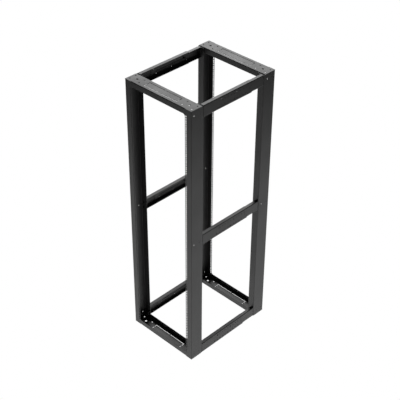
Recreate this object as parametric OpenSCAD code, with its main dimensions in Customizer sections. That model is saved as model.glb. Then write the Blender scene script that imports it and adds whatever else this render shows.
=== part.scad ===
// Four-post open-frame equipment rack with adjustable depth.
// Two ladder frames, front and rear, are joined by six telescoping side rails.
// Origin: middle of the floor footprint. -Y is the front, +X the right-hand side, +Z up.

/* [Overall] */
// Width over the uprights
rack_w = 552.5; // [540:0.5:620]
// Depth over the uprights, at the stored rail setting
rack_d = 711; // [640:1:900]
// Number of rack units between the two plates
rack_units = 41; // [12:1:45]
// Solid height above and below the rack units
end_margin = 41.275; // [40:0.1:80]
// Sheet thickness of the uprights and plates
sheet_t = 2; // [1.5:0.1:2.5]
// Outer radius of every sheet bend
bend_r = 4; // [3:0.5:6]

/* [Uprights] */
// Depth of an upright's side web
upright_d = 99; // [90:1:120]
// Clear opening between two facing uprights
opening_w = 450; // [446:0.5:470]
// Width of the inner lip of an upright
lip_w = 48; // [36:1:50]
// Distance between the two columns of square holes
hole_columns = 465.1; // [463.5:0.1:466.7]
// Side of a square hole
square_hole = 9.5; // [9:0.1:9.6]
// Radius of the joining holes in the side web
web_hole_r = 3.5; // [3:0.25:5]
// Distance of the joining holes from the outer face
web_hole_y = 23; // [18:1:30]

/* [Plates] */
// Depth of a top or bottom plate
plate_d = 92; // [80:1:96]
// Height of a plate's flanges
plate_flange_h = 37; // [24:1:40]
// Fillet between a plate's outer flange and an upright
plate_fillet_r = 16; // [8:1:20]
// Radius of the four small holes at each corner
foot_hole_r = 4.5; // [3:0.25:5]
// Spacing of the small holes across the rack
foot_hole_dx = 78; // [60:1:90]
// Spacing of the small holes along the depth
foot_hole_dy = 45; // [40:1:55]
// Radius of the large hole in the middle of each corner
foot_bore_r = 7; // [5:0.25:8]
// Distance of the large hole from the side
foot_x = 58; // [50:1:64]
// Width of the knock-out panel
knockout_w = 272; // [200:1:300]
// Depth of the knock-out panel
knockout_d = 49; // [30:1:54]
// Width of the slit round the knock-out panel
knockout_slit = 4; // [1:0.25:6]

/* [Side rails] */
// Height of a rail
rail_h = 76.2; // [70:0.1:90]
// Width of a rail's top and bottom flanges
rail_flange_w = 26; // [25:0.25:36]
// Length of each rail half
rail_l = 406; // [300:1:406]
// Running gap between the two halves
rail_gap = 0.5; // [0.3:0.1:1]
// Half the distance between the two rows of holes
row_z = 19.05; // [15:0.05:22]
// Pitch of the holes
hole_pitch = 25.4; // [20:0.1:30]
// Distance of the first hole of the lower row from the rail's end
row_start = 125; // [110:1:130]
// Radius of a large hole
large_hole_r = 5.5; // [4:0.25:6]
// Radius of a small hole
small_hole_r = 3.5; // [2:0.25:4]
// Radius of the holes in a rail's inner half
inner_hole_r = 2.25; // [1.5:0.25:3]

/* [Depth adjustment] */
// Travel towards a shallower rack
travel_in = 10; // [2:1:12]
// Travel towards a deeper rack
travel_out = 230; // [100:1:230]
// Radius of the locking studs
stud_r = 3; // [2.5:0.5:4]
// Distance of a locking stud from the end of its outer rail half
stud_setback = 20; // [16:1:30]

/* [Hidden] */
$fn = 32;

rack_unit = 44.45;
unit_holes = [6.35, 22.225, 38.1];
eps = 0.1;

rack_h = rack_units * rack_unit + 2 * end_margin;
half_w = rack_w / 2;
half_d = rack_d / 2;
flange_w = (rack_w - opening_w) / 2;
upright_h = rack_h - 2 * sheet_t;
plate_clear = 0.25;
plate_flange_l = opening_w - 2 * plate_clear;
knockout_tab = 6;

rail_reach = rack_d - 2 * upright_d;
rail_levels = [rack_h - rail_h / 2, rack_h / 2, rail_h / 2];
inner_inset = sheet_t + rail_gap;
inner_h = rail_h - 2 * inner_inset;
inner_flange_w = rail_flange_w - inner_inset;

bolt_r = 3;
bolt_hole_r = 3.3;
bolt_head_r = 6;
bolt_head_h = 3.4;
bolt_len = 14;
socket_r = 2;
socket_depth = 1.8;
nut_af = 10;
nut_h = 5;
bolt_inset = 18;

washer_r = 9;
washer_t = 1.6;
stud_flush_r = 5;
stud_len = 16;
stud_y = -half_d + upright_d + rail_l - stud_setback;
slot_extra = stud_r + 2;

// ---- Profiles ----------------------------------------------------------------

// Square with round corners of radius r.
module round_square(x, y, r) {
  translate([r, 0]) square([x - 2 * r, y]);
  translate([0, r]) square([x, y - 2 * r]);
  for (cx = [r, x - r], cy = [r, y - r]) translate([cx, cy]) circle(r);
}

// C section: web of length d along +Y at x = 0, flanges w1 and w2 along +X.
module channel_2d(d, w1, w2) {
  difference() {
    intersection() {
      round_square(2 * max(w1, w2), d, bend_r);
      union() {
        square([w1, d / 2]);
        translate([0, d / 2]) square([w2, d / 2]);
      }
    }
    translate([sheet_t, sheet_t])
      round_square(2 * max(w1, w2), d - 2 * sheet_t, bend_r - sheet_t);
  }
}

// The six-sided outline of a nut.
module hex_2d(across_flats) {
  circle(across_flats / sqrt(3), $fn = 6);
}

// ---- Placement ---------------------------------------------------------------

// sx is -1 on the left and 1 on the right. sy is -1 at the front and 1 at the rear.
module at_corner(sx, sy) {
  mirror([sx > 0 ? 1 : 0, 0, 0]) mirror([0, sy > 0 ? 1 : 0, 0])
    translate([-half_w, -half_d, 0]) children();
}

// Extrudes a profile drawn in the plane of X and Z along +Y.
module along_y(length) {
  translate([0, length, 0]) rotate([90, 0, 0]) linear_extrude(length) children();
}

// ---- Ladder frames -----------------------------------------------------------

// Square holes of the front or rear flange, in the three-hole rack unit pattern.
module square_hole_column() {
  x = half_w - hole_columns / 2 - square_hole / 2;
  for (u = [0 : rack_units - 1], z = unit_holes)
    translate([x, -eps, end_margin + u * rack_unit + z - square_hole / 2])
      cube([square_hole, sheet_t + 2 * eps, square_hole]);
}

// Holes in the side web, used to join neighbouring racks.
module web_holes() {
  for (z = rail_levels, y = [web_hole_y, plate_d - web_hole_y])
    translate([-eps, y, z]) rotate([0, 90, 0]) cylinder(r = web_hole_r, h = sheet_t + 2 * eps);
}

// Holes in the lip, for the bolts of the side rails.
module lip_holes() {
  for (z = rail_levels, dz = [-row_z, row_z])
    translate([bolt_inset, upright_d + eps, z + dz])
      rotate([90, 0, 0]) cylinder(r = bolt_hole_r, h = sheet_t + 2 * eps);
}

module upright() {
  difference() {
    translate([0, 0, sheet_t]) linear_extrude(upright_h)
      channel_2d(upright_d, flange_w, lip_w);
    square_hole_column();
    web_holes();
    lip_holes();
  }
}

// Outer flange with a fillet at each end, drawn in the plane of X and Z.
module plate_flange_2d() {
  translate([-plate_flange_l / 2, bend_r]) square([plate_flange_l, plate_flange_h - bend_r]);
  for (side = [0, 1]) mirror([side, 0])
    translate([plate_flange_l / 2 - plate_fillet_r, plate_flange_h]) difference() {
      square(plate_fillet_r);
      translate([0, plate_fillet_r]) circle(plate_fillet_r);
    }
}

// Quarter-round bend along X, from a flat sheet on z = 0 up to a flange on y = 0.
module bend_strip(length) {
  translate([-length / 2, 0, 0]) rotate([90, 0, 90]) linear_extrude(length) difference() {
    intersection() {
      square(bend_r);
      translate([bend_r, bend_r]) circle(bend_r);
    }
    translate([bend_r, bend_r]) circle(bend_r - sheet_t);
  }
}

// Holes for a caster or a levelling foot, at one end of a plate.
module foot_holes() {
  mid_y = plate_d / 2;
  translate([half_w - foot_x, mid_y, -eps]) {
    cylinder(r = foot_bore_r, h = sheet_t + 2 * eps);
    for (x = [-1, 1], y = [-1, 1])
      translate([x * foot_hole_dx / 2, y * foot_hole_dy / 2, 0])
        cylinder(r = foot_hole_r, h = sheet_t + 2 * eps);
  }
}

// Slit round the knock-out panel, with a tab left in the middle of each side.
module knockout_slits() {
  long_slit = (knockout_w - knockout_tab) / 2;
  short_slit = (knockout_d - knockout_tab) / 2;
  for (sx = [0, 1], sy = [0, 1]) translate([0, plate_d / 2, -eps]) mirror([sx, 0, 0])
    mirror([0, sy, 0]) {
      translate([knockout_tab / 2, knockout_d / 2 - knockout_slit, 0])
        cube([long_slit, knockout_slit, sheet_t + 2 * eps]);
      translate([knockout_w / 2 - knockout_slit, knockout_tab / 2, 0])
        cube([knockout_slit, short_slit, sheet_t + 2 * eps]);
    }
}

// A plate lying on z = 0 with its flanges up and its outer edge on y = 0.
module plate() {
  inner_l = rack_w - 2 * (sheet_t + plate_clear);
  end_w = (rack_w - plate_flange_l) / 2;
  difference() {
    union() {
      // Flat sheet between the two bends
      translate([-half_w, bend_r, 0]) cube([rack_w, plate_d - 2 * bend_r, sheet_t]);
      // Flat ends, which lie on the uprights
      for (side = [0, 1]) mirror([side, 0, 0])
        translate([half_w - end_w, 0, 0]) cube([end_w, bend_r, sheet_t]);
      // Outer flange
      translate([0, sheet_t, 0]) rotate([90, 0, 0]) linear_extrude(sheet_t) plate_flange_2d();
      bend_strip(plate_flange_l);
      // Inner flange, which runs inside both uprights
      translate([-inner_l / 2, plate_d - sheet_t, bend_r])
        cube([inner_l, sheet_t, plate_flange_h - bend_r]);
      translate([0, plate_d, 0]) mirror([0, 1, 0]) bend_strip(inner_l);
    }
    foot_holes();
    mirror([1, 0, 0]) foot_holes();
    knockout_slits();
  }
}

module place_plate(sy, top) {
  mirror([0, sy > 0 ? 1 : 0, 0]) translate([0, -half_d, top ? rack_h : 0])
    mirror([0, 0, top ? 1 : 0]) plate();
}

// ---- Telescoping side rails --------------------------------------------------

// Two rows of holes. Every fifth hole is a large one.
module rail_rows() {
  for (row = [0, 1], i = [0 : 9])
    translate([-eps, row_start + (i + row) * hole_pitch, (row == 0 ? -1 : 1) * row_z])
      rotate([0, 90, 0])
        cylinder(r = i % 5 == 0 ? large_hole_r : small_hole_r, h = sheet_t + 2 * eps);
}

// End tab of a rail with two bolt holes, lying against an upright's lip.
module rail_tab(x0, h, w) {
  difference() {
    translate([x0 + sheet_t, 0, -h / 2 + sheet_t]) cube([w - sheet_t, sheet_t, h - 2 * sheet_t]);
    for (dz = [-row_z, row_z])
      translate([bolt_inset, sheet_t + eps, dz]) rotate([90, 0, 0])
        cylinder(r = bolt_hole_r, h = sheet_t + 2 * eps);
  }
}

// Channel that opens towards +X, with its web at x0 and its start at y = 0.
module rail_channel(x0, h, w) {
  along_y(rail_l) translate([x0, -h / 2]) channel_2d(h, w, w);
}

module rail_outer() {
  difference() {
    rail_channel(0, rail_h, rail_flange_w);
    rail_rows();
    translate([-eps, rail_l - stud_setback, 0]) rotate([0, 90, 0])
      cylinder(r = stud_flush_r, h = sheet_t + 2 * eps);
  }
  rail_tab(0, rail_h, rail_flange_w);
}

// The inner half starts at the rear upright, and is drawn from there forwards.
module rail_inner() {
  lead = rail_reach - rail_l + stud_setback;
  difference() {
    rail_channel(inner_inset, inner_h, inner_flange_w);
    // Holes that meet the large holes of the outer half at the stored depth. The last ones lie
    // just past its end.
    for (row = [0, 1], i = [0, 5, 10])
      translate([inner_inset - eps, rail_reach - row_start - (i + row) * hole_pitch,
                 (row == 0 ? -1 : 1) * row_z])
        rotate([0, 90, 0]) cylinder(r = inner_hole_r, h = sheet_t + 2 * eps);
    // Slot in which the locking stud slides
    translate([inner_inset - eps, lead - travel_in - slot_extra, -stud_r - 0.5])
      cube([sheet_t + 2 * eps, travel_in + travel_out + 2 * slot_extra, 2 * stud_r + 1]);
  }
  rail_tab(inner_inset, inner_h, inner_flange_w);
}

// Both sides use the same rails, so those on the left are upside down.
module at_rail_end(sx, sy, level) {
  at_corner(sx, sy) translate([0, upright_d, rail_levels[level]])
    mirror([0, 0, sx < 0 ? 1 : 0]) children();
}

module place_rail_outer(sx, level) {
  color([0.10, 0.10, 0.11]) at_rail_end(sx, -1, level) rail_outer();
}

module place_rail_inner(sx, level) {
  color([0.13, 0.13, 0.14]) at_rail_end(sx, 1, level) rail_inner();
}

// ---- Fasteners ---------------------------------------------------------------

// Places children at every rail bolt of one ladder frame, on the lip's inner face.
module at_rail_bolts(sy) {
  for (sx = [-1, 1], z = rail_levels, dz = [-row_z, row_z])
    at_corner(sx, sy) translate([bolt_inset, upright_d - sheet_t, z + dz]) rotate([-90, 0, 0])
      children();
}

// Low-head screw through the lip and the rail's tab.
module rail_bolt() {
  translate([0, 0, -bolt_head_h]) difference() {
    cylinder(r = bolt_head_r, h = bolt_head_h);
    translate([0, 0, -eps]) cylinder(r = socket_r, h = socket_depth + eps, $fn = 6);
  }
  cylinder(r = bolt_r, h = bolt_len);
}

module nut(across_flats, height, hole_r) {
  difference() {
    linear_extrude(height) hex_2d(across_flats);
    translate([0, 0, -eps]) cylinder(r = hole_r, h = height + 2 * eps);
  }
}

module rail_bolts(sy) {
  color([0.16, 0.16, 0.17]) at_rail_bolts(sy) rail_bolt();
}

module rail_nuts(sy) {
  color([0.16, 0.16, 0.17]) at_rail_bolts(sy)
    translate([0, 0, 2 * sheet_t]) nut(nut_af, nut_h, bolt_r);
}

// Places children at every locking stud, on the outer face of its rail, pointing inwards.
module at_lock_studs() {
  for (sx = [-1, 1], z = rail_levels)
    at_corner(sx, -1) translate([0, stud_y + half_d, z]) rotate([0, 90, 0]) children();
}

// Flush-head stud pressed into the outer half of a rail.
module lock_studs() {
  color([0.16, 0.16, 0.17]) at_lock_studs() {
    cylinder(r = stud_flush_r, h = sheet_t);
    cylinder(r = stud_r, h = stud_len);
  }
}

module lock_washers() {
  color([0.16, 0.16, 0.17]) at_lock_studs()
    translate([0, 0, inner_inset + sheet_t]) difference() {
      cylinder(r = washer_r, h = washer_t);
      translate([0, 0, -eps]) cylinder(r = stud_r, h = washer_t + 2 * eps);
    }
}

module lock_nuts() {
  color([0.16, 0.16, 0.17]) at_lock_studs()
    translate([0, 0, inner_inset + sheet_t + washer_t]) nut(nut_af, nut_h, stud_r);
}

// ---- Nodes -------------------------------------------------------------------

module place_upright(sx, sy) {
  color([0.11, 0.11, 0.12]) at_corner(sx, sy) upright();
}

module place_black_plate(sy, top) {
  color([0.15, 0.15, 0.16]) place_plate(sy, top);
}

place_upright(-1, -1);  // upright_front_left
place_upright(1, -1);  // upright_front_right
place_upright(-1, 1);  // upright_rear_left
place_upright(1, 1);  // upright_rear_right
place_black_plate(-1, true);  // plate_top_front
place_black_plate(-1, false);  // plate_bottom_front
place_black_plate(1, true);  // plate_top_rear
place_black_plate(1, false);  // plate_bottom_rear
place_rail_outer(-1, 0);  // rail_outer_top_left
place_rail_outer(1, 0);  // rail_outer_top_right
place_rail_outer(-1, 1);  // rail_outer_mid_left
place_rail_outer(1, 1);  // rail_outer_mid_right
place_rail_outer(-1, 2);  // rail_outer_bottom_left
place_rail_outer(1, 2);  // rail_outer_bottom_right
place_rail_inner(-1, 0);  // rail_inner_top_left
place_rail_inner(1, 0);  // rail_inner_top_right
place_rail_inner(-1, 1);  // rail_inner_mid_left
place_rail_inner(1, 1);  // rail_inner_mid_right
place_rail_inner(-1, 2);  // rail_inner_bottom_left
place_rail_inner(1, 2);  // rail_inner_bottom_right
rail_bolts(-1);  // rail_bolts_front
rail_nuts(-1);  // rail_nuts_front
rail_bolts(1);  // rail_bolts_rear
rail_nuts(1);  // rail_nuts_rear
lock_studs();
lock_washers();
lock_nuts();
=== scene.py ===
"""Looks of the open-frame equipment rack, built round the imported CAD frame."""

import math

import bpy
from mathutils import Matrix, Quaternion, Vector


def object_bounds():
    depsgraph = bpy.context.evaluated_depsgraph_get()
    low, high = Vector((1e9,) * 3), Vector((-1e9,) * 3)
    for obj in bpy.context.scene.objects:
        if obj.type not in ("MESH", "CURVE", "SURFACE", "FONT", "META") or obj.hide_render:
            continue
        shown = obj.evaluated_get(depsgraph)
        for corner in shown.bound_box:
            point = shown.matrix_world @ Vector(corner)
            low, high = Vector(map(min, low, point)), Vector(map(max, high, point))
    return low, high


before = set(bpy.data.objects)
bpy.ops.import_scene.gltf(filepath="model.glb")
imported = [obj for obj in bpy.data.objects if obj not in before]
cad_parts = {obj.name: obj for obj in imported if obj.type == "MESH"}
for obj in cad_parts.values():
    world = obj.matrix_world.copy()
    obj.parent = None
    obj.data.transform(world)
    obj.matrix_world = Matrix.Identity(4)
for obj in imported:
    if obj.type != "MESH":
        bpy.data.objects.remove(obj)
cad_lo, cad_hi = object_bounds()

# Coating: how dark and how rough the powder coat is, before each part's own shift
COAT_BASE = 0.022
COAT_ROUGH = 0.47
COAT_EDGE = 0.0007
OXIDE_BASE = 0.035
OXIDE_ROUGH = 0.4
OXIDE_EDGE = 0.0003

# Floor: the sheet that the camera sees, and the glowing sheet that lights the rack
FLOOR_REACH = 40.0
FLOOR_HEIGHT = -0.001
POOL_REACH = 7.0
POOL_HEIGHT = -0.0005
POOL_INNER = 1.12
POOL_INNER_FADE = (2.7, 3.3)
POOL_OUTER = 0.15
POOL_OUTER_FADE = (5.6, 6.4)

# World and lamp
WORLD_FILL = 0.05
BACK_AZIMUTH = 225.0
BACK_ELEVATION = 35.0
BACK_DISTANCE = 5.0
BACK_SIZE = 2.5
BACK_POWER = 110.0

# Camera
CAMERA_PLACE = Vector((3.682, -3.758, 4.699))
CAMERA_TARGET = Vector((0.0, 0.0, 0.9525))
CAMERA_ROLL = math.radians(0.304)
CAMERA_LENS = 89.57
CAMERA_SENSOR = 36.0
CAMERA_SHIFT = 0.0116


# ---- Node helpers -------------------------------------------------------------


class Graph:
    """A short way to wire up one material."""

    def __init__(self, name):
        self.material = bpy.data.materials.new(name)
        self.material.use_nodes = True
        self.tree = self.material.node_tree
        self.shader = self.tree.nodes["Principled BSDF"]

    def add(self, kind, inputs=None, **settings):
        made = self.tree.nodes.new(kind)
        for key, value in settings.items():
            setattr(made, key, value)
        for key, value in (inputs or {}).items():
            self.put(value, made.inputs[key])
        return made

    def put(self, value, socket):
        if isinstance(value, bpy.types.NodeSocket):
            self.tree.links.new(value, socket)
        else:
            socket.default_value = value

    def object_coordinates(self):
        return self.add("ShaderNodeTexCoord").outputs["Object"]

    def noise(self, place, scale, detail=2.0, roughness=0.5):
        made = self.add(
            "ShaderNodeTexNoise",
            {"Vector": place, "Scale": scale, "Detail": detail, "Roughness": roughness},
        )
        return made.outputs["Fac"]

    def remap(self, value, low, high, to_low, to_high):
        made = self.add(
            "ShaderNodeMapRange",
            {
                "Value": value,
                "From Min": low,
                "From Max": high,
                "To Min": to_low,
                "To Max": to_high,
            },
        )
        return made.outputs["Result"]

    def math(self, operation, a, b):
        made = self.add("ShaderNodeMath", {0: a, 1: b}, operation=operation)
        return made.outputs["Value"]

    def blend(self, factor, a, b):
        made = self.tree.nodes.new("ShaderNodeMix")
        made.data_type = "RGBA"
        first, second = [k for k in made.inputs if k.name in ("A", "B") and k.type == "RGBA"]
        result = [k for k in made.outputs if k.type == "RGBA"][0]
        for value, socket in ((factor, made.inputs[0]), (a, first), (b, second)):
            self.put(value, socket)
        return result

    def bump(self, height, distance, strength, normal):
        """Small relief laid over the given normal."""
        made = self.add(
            "ShaderNodeBump",
            {"Height": height, "Distance": distance, "Strength": strength, "Normal": normal},
        )
        return made.outputs["Normal"]

    def edges(self, radius):
        """A normal rounded over the edges, and a mask that rises on them."""
        rounded = self.add("ShaderNodeBevel", {"Radius": radius}, samples=4).outputs["Normal"]
        flat = self.add("ShaderNodeNewGeometry").outputs["Normal"]
        match = self.add("ShaderNodeVectorMath", {0: rounded, 1: flat}, operation="DOT_PRODUCT")
        return rounded, self.remap(match.outputs["Value"], 0.99, 0.86, 0.0, 1.0)


def gray(value, tint=(1.0, 1.0, 1.0)):
    return (value * tint[0], value * tint[1], value * tint[2], 1.0)


# ---- Materials ----------------------------------------------------------------


def powder_coat(name, base, rough, worn=0.3, rubbed=0.0):
    """Satin powder coat: orange peel, fine grain, handling marks, and patches worn paler on the edges."""
    g = Graph(name)
    place = g.object_coordinates()
    cloud = g.noise(place, 7.0, 3.0)
    marks = g.noise(place, 38.0, 6.0, 0.65)
    peel = g.noise(place, 420.0, 2.0)
    grain = g.noise(place, 1900.0, 2.0)
    rounded, edge = g.edges(COAT_EDGE)
    patchy = g.remap(marks, 0.42, 0.62, 0.0, worn)
    wear = g.math("MULTIPLY", edge, patchy)
    tone = g.blend(g.remap(cloud, 0.35, 0.65, 0.0, 1.0), gray(base * 0.9), gray(base * 1.1))
    tone = g.blend(wear, tone, gray(base * 4.0, (1.0, 0.98, 0.95)))
    gloss = g.math(
        "ADD",
        g.remap(cloud, 0.3, 0.7, rough - 0.03, rough + 0.03),
        g.remap(grain, 0.3, 0.7, -0.04, 0.04),
    )
    gloss = g.math("ADD", gloss, g.remap(marks, 0.55, 0.75, 0.0, -0.04))
    if rubbed:
        # Faint lines along Y, left where one rail half slides in the other
        long = g.add("ShaderNodeMapping", {"Vector": place, "Scale": (600.0, 2.5, 600.0)})
        lines = g.noise(long.outputs["Vector"], 1.0, 3.0)
        streak = g.remap(lines, 0.58, 0.72, 0.0, rubbed)
        tone = g.blend(streak, tone, gray(base * 2.2))
        gloss = g.math("ADD", gloss, g.math("MULTIPLY", streak, -0.15))
    g.put(tone, g.shader.inputs["Base Color"])
    g.put(gloss, g.shader.inputs["Roughness"])
    peeled = g.bump(peel, 0.0002, 0.3, rounded)
    g.put(g.bump(grain, 0.00008, 0.5, peeled), g.shader.inputs["Normal"])
    return g.material


def black_oxide(name, base, rough):
    """Oiled black oxide on turned steel, with a fine grain and brighter edges."""
    g = Graph(name)
    place = g.object_coordinates()
    spots = g.noise(place, 260.0, 3.0)
    grain = g.noise(place, 3200.0, 1.0)
    rounded, edge = g.edges(OXIDE_EDGE)
    tone = g.blend(g.remap(spots, 0.35, 0.65, 0.0, 1.0), gray(base * 0.8), gray(base * 1.15))
    tone = g.blend(g.math("MULTIPLY", edge, 0.35), tone, gray(base * 4.0))
    g.put(tone, g.shader.inputs["Base Color"])
    g.put(g.remap(spots, 0.3, 0.7, rough - 0.06, rough + 0.06), g.shader.inputs["Roughness"])
    g.put(1.0, g.shader.inputs["Metallic"])
    g.put(g.bump(grain, 0.00003, 0.5, rounded), g.shader.inputs["Normal"])
    return g.material


def glowing(name):
    """A sheet that only gives light."""
    g = Graph(name)
    g.put(gray(0.0), g.shader.inputs["Base Color"])
    g.put(0.0, g.shader.inputs["Specular IOR Level"])
    g.put(gray(1.0), g.shader.inputs["Emission Color"])
    g.put(1.0, g.shader.inputs["Emission Strength"])
    return g


OXIDE = black_oxide("black_oxide", OXIDE_BASE, OXIDE_ROUGH)
LOOKS = {
    "upright": powder_coat("upright_coat", COAT_BASE, COAT_ROUGH),
    "plate": powder_coat("plate_coat", COAT_BASE * 1.04, COAT_ROUGH),
    "rail_outer": powder_coat("rail_coat", COAT_BASE * 0.98, COAT_ROUGH),
    "rail_inner": powder_coat("inner_rail_coat", COAT_BASE, COAT_ROUGH - 0.02, rubbed=0.3),
}

for name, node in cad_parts.items():
    look = next((LOOKS[start] for start in LOOKS if name.startswith(start)), OXIDE)
    for slot in node.material_slots:
        slot.link = "OBJECT"
        slot.material = look


# ---- Floor, light and camera ----------------------------------------------------

scene = bpy.context.scene
scene.view_settings.view_transform = "Standard"
scene.view_settings.look = "None"


def link(name, data):
    made = bpy.data.objects.new(name, data)
    scene.collection.objects.link(made)
    return made


def sheet(name, reach, height, material):
    """A square of floor round the origin."""
    mesh = bpy.data.meshes.new(name)
    corners = ((-1, -1), (1, -1), (1, 1), (-1, 1))
    mesh.from_pydata([(reach * x, reach * y, height) for x, y in corners], [], [(0, 1, 2, 3)])
    mesh.materials.append(material)
    made = link(name, mesh)
    return made


def pale_floor():
    """The even floor, which only the camera sees."""
    floor = sheet("floor", FLOOR_REACH, FLOOR_HEIGHT, glowing("pale_floor").material)
    for kind in ("diffuse", "glossy", "transmission", "volume_scatter", "shadow"):
        setattr(floor, "visible_" + kind, False)


def light_pool():
    """A pool of light on the floor, which lights the rack and is hidden from the camera."""
    g = glowing("pool_light")
    away = g.add("ShaderNodeVectorMath", {0: g.object_coordinates()}, operation="LENGTH")
    inner = g.remap(away.outputs["Value"], *POOL_INNER_FADE, POOL_INNER - POOL_OUTER, 0.0)
    outer = g.remap(away.outputs["Value"], *POOL_OUTER_FADE, POOL_OUTER, 0.0)
    g.put(g.math("ADD", inner, outer), g.shader.inputs["Emission Strength"])
    sheet("light_pool", POOL_REACH, POOL_HEIGHT, g.material).visible_camera = False


def studio_world():
    """White where the camera sees it, and a weak fill everywhere else."""
    world = bpy.data.worlds.new("studio")
    scene.world = world
    world.use_nodes = True
    tree = world.node_tree
    tree.nodes.clear()
    seen = tree.nodes.new("ShaderNodeBackground")
    seen.inputs["Color"].default_value = gray(1.0)
    fill = tree.nodes.new("ShaderNodeBackground")
    fill.inputs["Color"].default_value = gray(WORLD_FILL)
    path = tree.nodes.new("ShaderNodeLightPath")
    mix = tree.nodes.new("ShaderNodeMixShader")
    out = tree.nodes.new("ShaderNodeOutputWorld")
    tree.links.new(path.outputs["Is Camera Ray"], mix.inputs[0])
    tree.links.new(fill.outputs[0], mix.inputs[1])
    tree.links.new(seen.outputs[0], mix.inputs[2])
    tree.links.new(mix.outputs[0], out.inputs["Surface"])


def softbox(name, azimuth, elevation, distance, size, power):
    """A square lamp at an azimuth and elevation, aimed at the middle of the rack."""
    turn, rise = math.radians(azimuth), math.radians(elevation)
    middle = Vector((0.0, 0.0, (cad_lo.z + cad_hi.z) / 2))
    level = math.cos(rise)
    toward = Vector((math.sin(turn) * level, -math.cos(turn) * level, math.sin(rise)))
    data = bpy.data.lights.new(name, "AREA")
    data.shape = "RECTANGLE"
    data.size = data.size_y = size
    data.energy = power
    lamp = link(name, data)
    lamp.location = middle + toward * distance
    lamp.rotation_mode = "QUATERNION"
    lamp.rotation_quaternion = (-toward).to_track_quat("-Z", "Y")


def place_camera():
    data = bpy.data.cameras.new("camera")
    data.lens = CAMERA_LENS
    data.sensor_width = CAMERA_SENSOR
    data.shift_y = CAMERA_SHIFT
    camera = link("camera", data)
    camera.rotation_mode = "QUATERNION"
    camera.location = CAMERA_PLACE
    aim = (CAMERA_TARGET - CAMERA_PLACE).to_track_quat("-Z", "Y")
    camera.rotation_quaternion = aim @ Quaternion((0, 0, 1), CAMERA_ROLL)
    scene.camera = camera


pale_floor()
light_pool()
studio_world()
softbox("back_left", BACK_AZIMUTH, BACK_ELEVATION, BACK_DISTANCE, BACK_SIZE, BACK_POWER)
place_camera()
